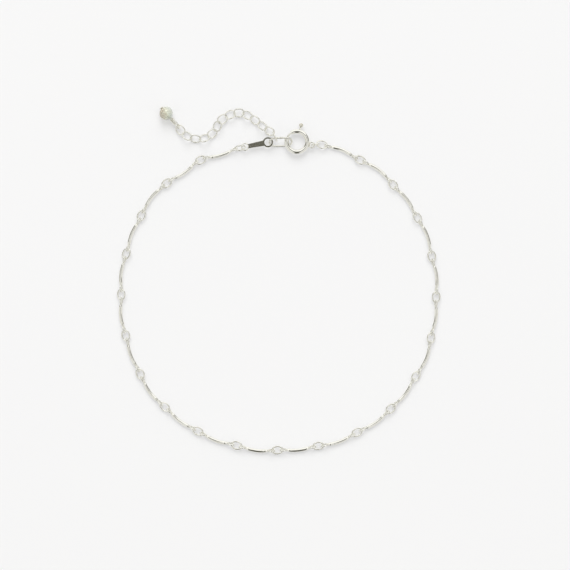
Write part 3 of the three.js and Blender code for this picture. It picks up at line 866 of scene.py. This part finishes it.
bead_stone = bpy.data.materials.new("bead_stone")
bead_stone.use_nodes = True
nodes, link = bead_stone.node_tree.nodes, bead_stone.node_tree.links.new
shader = nodes["Principled BSDF"]
shader.inputs["IOR"].default_value = STONE_IOR
shader.inputs["Transmission Weight"].default_value = STONE_CLARITY
shader.inputs["Coat Weight"].default_value = POLISH_WEIGHT
shader.inputs["Coat Roughness"].default_value = POLISH_ROUGHNESS
coordinates = nodes.new("ShaderNodeTexCoord")
centred = nodes.new("ShaderNodeMapping")
centred.inputs["Location"].default_value = -(BENCH_TO_FRAME @ BEAD_CENTRE)
link(coordinates.outputs["Object"], centred.inputs["Vector"])
cloud = nodes.new("ShaderNodeTexNoise")
cloud.inputs["Scale"].default_value = CLOUD_SCALE
cloud.inputs["Detail"].default_value = CLOUD_DETAIL
cloud.inputs["Distortion"].default_value = CLOUD_DISTORTION
link(centred.outputs["Vector"], cloud.inputs["Vector"])
# Painted shade and light: the tone runs along X across the view, brown at the -X side and pale at the +X
# side, mixed with the stone's own cloud.
axes = nodes.new("ShaderNodeSeparateXYZ")
link(centred.outputs["Vector"], axes.inputs["Vector"])
across = nodes.new("ShaderNodeMath")
across.operation = "MULTIPLY"
across.inputs[1].default_value = MM_PER_METRE / BEAD_DIAMETER
link(axes.outputs["X"], across.inputs[0])
cloud_and_painted_light = nodes.new("ShaderNodeMath")
cloud_and_painted_light.operation = "ADD"
link(across.outputs["Value"], cloud_and_painted_light.inputs[0])
link(cloud.outputs["Fac"], cloud_and_painted_light.inputs[1])
tones = nodes.new("ShaderNodeValToRGB")
tones.color_ramp.elements[0].position = PAINTED_SHADE_AT
tones.color_ramp.elements[0].color = STONE_BROWN_PAINTED_SHADE
tones.color_ramp.elements[1].position = PAINTED_LIGHT_AT
tones.color_ramp.elements[1].color = STONE_PALE_PAINTED_LIGHT
tones.color_ramp.elements.new(OLIVE_AT).color = STONE_OLIVE
link(cloud_and_painted_light.outputs["Value"], tones.inputs["Fac"])
link(tones.outputs["Color"], shader.inputs["Base Color"])
polish = nodes.new("ShaderNodeMapRange")
polish.inputs["To Min"].default_value = STONE_ROUGHNESS[0]
polish.inputs["To Max"].default_value = STONE_ROUGHNESS[1]
link(cloud.outputs["Fac"], polish.inputs["Value"])
link(polish.outputs["Result"], shader.inputs["Roughness"])

bead = set_down(bead_pattern, "faceted_bead", drop_place, bead_stone)
clear_away(bead_pattern)
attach(bead, "anklet")
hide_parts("bead")


# Bead pin. A silver wire with an upset head, pushed through the bead, wound back round itself and bent to a
# loop on the extender's last link.
PIN_THICKNESS = 0.36
PIN_HEAD = 0.85
PIN_HEAD_THICKNESS = 0.2
PIN_HEAD_ROUND = 0.08
PIN_PLAY = 0.02
WRAP_TURNS = 4
WRAP_RADIUS = 0.38
WRAP_STEPS = 24
LOOP_LENGTH = 1.75
LOOP_WIDTH = 1.6
LOOP_ROLL = math.radians(-62)
head_at = -BEAD_DIAMETER / 2 - PIN_PLAY
wrap_from = BEAD_DIAMETER / 2 + PIN_PLAY + PIN_THICKNESS / 2
loop_near = drop_reach - LOOP_LENGTH / 2 + PIN_THICKNESS / 2


def round_bar(diameter, start, end, end_round=0.0):
    """A round bar along X with its ends rounded."""
    bpy.ops.object.select_all(action="DESELECT")
    bpy.ops.mesh.primitive_cylinder_add(vertices=BORE_SIDES, radius=diameter / 2, depth=end - start)
    bar = bpy.context.object
    middle = Matrix.Translation(((start + end) / 2, 0, 0))
    turn_into_place(bar, middle @ Matrix.Rotation(math.pi / 2, 4, "Y"))
    if end_round:
        round_edges(bar, end_round)
    return bar


bead_pin = round_bar(PIN_THICKNESS, head_at - PIN_HEAD_THICKNESS / 2, loop_near)
combine(bead_pin, round_bar(PIN_HEAD, head_at - PIN_HEAD_THICKNESS, head_at, PIN_HEAD_ROUND), "UNION")

bpy.ops.object.select_all(action="DESELECT")
bpy.ops.mesh.primitive_circle_add(
    vertices=WIRE_STEPS, radius=PIN_THICKNESS / 2, location=(wrap_from, WRAP_RADIUS, 0)
)
wrap = bpy.context.object
bpy.ops.object.transform_apply(location=True, rotation=True, scale=True)
winding = wrap.modifiers.new("winding", "SCREW")
winding.axis = "X"
winding.iterations = WRAP_TURNS
winding.screw_offset = (loop_near - wrap_from) / WRAP_TURNS
winding.steps = WRAP_STEPS
winding.render_steps = WRAP_STEPS
winding.use_merge_vertices = False
bpy.ops.object.modifier_apply(modifier=winding.name)
bpy.ops.object.mode_set(mode="EDIT")
bpy.ops.mesh.select_all(action="DESELECT")
bpy.ops.mesh.select_non_manifold()
bpy.ops.mesh.fill_holes(sides=WIRE_STEPS)
bpy.ops.object.mode_set(mode="OBJECT")
close_up(wrap)
combine(bead_pin, wrap, "UNION")

pin_loop = wire_ring("pin_loop", LOOP_LENGTH, LOOP_WIDTH, PIN_THICKNESS)
turn_into_place(pin_loop, Matrix.Translation((drop_reach, 0, 0)) @ Matrix.Rotation(LOOP_ROLL, 4, "X"))
combine(bead_pin, pin_loop, "UNION")
smooth(bead_pin)

pin_silver = polished_silver("pin_silver", tarnish=0.35, dullness=0.26, mark_depth=0.004)
headed_pin = set_down(bead_pin, "headed_pin", drop_place, pin_silver)
clear_away(bead_pin)
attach(headed_pin, "anklet")
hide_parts("bead_pin")


# Table. A wide sheet of white acrylic with a matt face, cast in one piece and faintly uneven in tone. It is
# laid flat over a weak light, which keeps the shadows on it soft and pale.
TABLE_SIZE = 8.0
ACRYLIC_TONES = ((0.525, 0.525, 0.53, 1), (0.535, 0.535, 0.535, 1))
GLOW_TONE = (1.0, 1.0, 1.015, 1)
GLOW_STRENGTH = 0.356
ACRYLIC_ROUGHNESS = 0.9
ACRYLIC_SHINE = 0.1
UNEVEN_SCALE = 9
bpy.ops.object.select_all(action="DESELECT")
bpy.ops.mesh.primitive_plane_add(size=TABLE_SIZE)
table = bpy.context.object
table.name = "table"
acrylic = bpy.data.materials.new("acrylic")
acrylic.use_nodes = True
nodes, link = acrylic.node_tree.nodes, acrylic.node_tree.links.new
shader = nodes["Principled BSDF"]
shader.inputs["Roughness"].default_value = ACRYLIC_ROUGHNESS
shader.inputs["Specular IOR Level"].default_value = ACRYLIC_SHINE
shader.inputs["Emission Color"].default_value = GLOW_TONE
shader.inputs["Emission Strength"].default_value = GLOW_STRENGTH
coordinates = nodes.new("ShaderNodeTexCoord")
uneven = nodes.new("ShaderNodeTexNoise")
uneven.inputs["Scale"].default_value = UNEVEN_SCALE
link(coordinates.outputs["Object"], uneven.inputs["Vector"])
tones = nodes.new("ShaderNodeValToRGB")
for element, tone in zip(tones.color_ramp.elements, ACRYLIC_TONES):
    element.color = tone
link(uneven.outputs["Fac"], tones.inputs["Fac"])
link(tones.outputs["Color"], shader.inputs["Base Color"])
table.data.materials.append(acrylic)


# Light. A large soft box stands past the clasp's side of the table, in a pale room that is dim near the
# floor. The viewer's side is dark, dark screens stand left and right of the soft box, and the camera hangs
# straight above from a dark boom that reaches over from the viewer's side.
ROOM_TONE = (0.83, 0.825, 0.805, 1)
LOW_WALL_TONE = (0.50, 0.49, 0.44, 1)
LOW_WALL_TOP_DEG = (10, 24)
GLARE_TONE = (1.06, 1.06, 1.04, 1)
GLARE_FACING_DEG = (90, 50)
GLARE_EDGE_DEG = (34, 52)
DARK_TONE = (0.03, 0.029, 0.023, 1)
VIEWER_FACING_DEG = (270, 78)
VIEWER_EDGE_DEG = (10, 23)
SCREEN_FACINGS_DEG = ((22, 60), (158, 60))
SCREEN_EDGE_DEG = (13, 21)
BOOM_TONE = (0.124, 0.120, 0.099, 1)
BOOM_HALF_WIDTH_DEG = (6, 10)
BOOM_END_DEG = (8, 13)
BOOM_FOOT_DEG = (-70, -85)
SOFT_BOX_SIZE = 2.0
SOFT_BOX_AT = Vector((-0.16, 2.1, 2.1))
SOFT_BOX_POWER = 52.0

room = bpy.data.worlds.new("room")
bpy.context.scene.world = room
room.use_nodes = True
nodes, link = room.node_tree.nodes, room.node_tree.links.new
direction = nodes.new("ShaderNodeTexCoord").outputs["Generated"]
sides = nodes.new("ShaderNodeSeparateXYZ")
link(direction, sides.inputs["Vector"])


def soft_step(value, none_at, full_at):
    """Nothing at one value and one at another, eased between them."""
    inside = nodes.new("ShaderNodeMapRange")
    inside.interpolation_type = "SMOOTHSTEP"
    inside.inputs["From Min"].default_value = none_at
    inside.inputs["From Max"].default_value = full_at
    link(value, inside.inputs["Value"])
    return inside.outputs["Result"]


def round_patch(facing_deg, edge_deg):
    """One inside a round patch of the room, which lies at a compass angle and an angle off straight up."""
    azimuth, polar = (math.radians(deg) for deg in facing_deg)
    facing = nodes.new("ShaderNodeVectorMath")
    facing.operation = "DOT_PRODUCT"
    link(direction, facing.inputs[0])
    flat = math.sin(polar)
    facing.inputs[1].default_value = (flat * math.cos(azimuth), flat * math.sin(azimuth), math.cos(polar))
    full, none = (math.cos(math.radians(deg)) for deg in edge_deg)
    return soft_step(facing.outputs["Value"], none, full)


def within(side, edge_deg):
    """One up to an angle off a middle plane and nothing past it."""
    full, none = (math.sin(math.radians(deg)) for deg in edge_deg)
    return soft_step(side, none, full)


def worked_out(operation, first, second=0.0):
    """One step of arithmetic on a value, with a number or another value."""
    step = nodes.new("ShaderNodeMath")
    step.operation = operation
    link(first, step.inputs[0])
    if isinstance(second, float):
        step.inputs[1].default_value = second
    else:
        link(second, step.inputs[1])
    return step.outputs["Value"]


def painted(share, under, tone):
    """The room so far, with another tone over it where the share is one."""
    mix = nodes.new("ShaderNodeMix")
    mix.data_type = "RGBA"
    link(share, mix.inputs["Factor"])
    below, above = (socket for socket in mix.inputs if socket.type == "RGBA")
    if isinstance(under, tuple):
        below.default_value = under
    else:
        link(under, below)
    above.default_value = tone
    return next(socket for socket in mix.outputs if socket.type == "RGBA")


room_tone = painted(within(sides.outputs["Z"], LOW_WALL_TOP_DEG), ROOM_TONE, LOW_WALL_TONE)
room_tone = painted(round_patch(GLARE_FACING_DEG, GLARE_EDGE_DEG), room_tone, GLARE_TONE)
room_tone = painted(round_patch(VIEWER_FACING_DEG, VIEWER_EDGE_DEG), room_tone, DARK_TONE)
for screen_facing in SCREEN_FACINGS_DEG:
    room_tone = painted(round_patch(screen_facing, SCREEN_EDGE_DEG), room_tone, DARK_TONE)
across = within(worked_out("ABSOLUTE", sides.outputs["X"]), BOOM_HALF_WIDTH_DEG)
lengthwise = worked_out(
    "MULTIPLY", within(sides.outputs["Y"], BOOM_END_DEG), within(sides.outputs["Y"], BOOM_FOOT_DEG)
)
overhead = worked_out("GREATER_THAN", sides.outputs["Z"])
boom = worked_out("MULTIPLY", worked_out("MULTIPLY", across, lengthwise), overhead)
link(painted(boom, room_tone, BOOM_TONE), nodes["Background"].inputs["Color"])

soft_box_light = bpy.data.lights.new("soft_box", "AREA")
soft_box_light.size = SOFT_BOX_SIZE
soft_box_light.energy = SOFT_BOX_POWER
soft_box = bpy.data.objects.new("soft_box", soft_box_light)
bpy.context.scene.collection.objects.link(soft_box)
soft_box.visible_glossy = False
soft_box.location = SOFT_BOX_AT
soft_box.rotation_euler = SOFT_BOX_AT.to_track_quat("Z", "Y").to_euler()


# Camera. It hangs from the boom and looks straight down at the anklet, from far enough away that every piece
# is seen from above. Its view is square, with a wide margin round the anklet.
VIEW_CENTRE = Vector((0.00142, -0.00104, 0))
VIEW_WIDTH = 0.1311
CAMERA_HEIGHT = 0.9
SENSOR_WIDTH = 36
camera_data = bpy.data.cameras.new("camera")
camera_data.sensor_width = SENSOR_WIDTH
camera_data.lens = SENSOR_WIDTH * CAMERA_HEIGHT / VIEW_WIDTH
camera = bpy.data.objects.new("camera", camera_data)
bpy.context.scene.collection.objects.link(camera)
camera.location = VIEW_CENTRE + Vector((0, 0, CAMERA_HEIGHT))
bpy.context.scene.camera = camera
bpy.context.scene.view_settings.view_transform = "Standard"
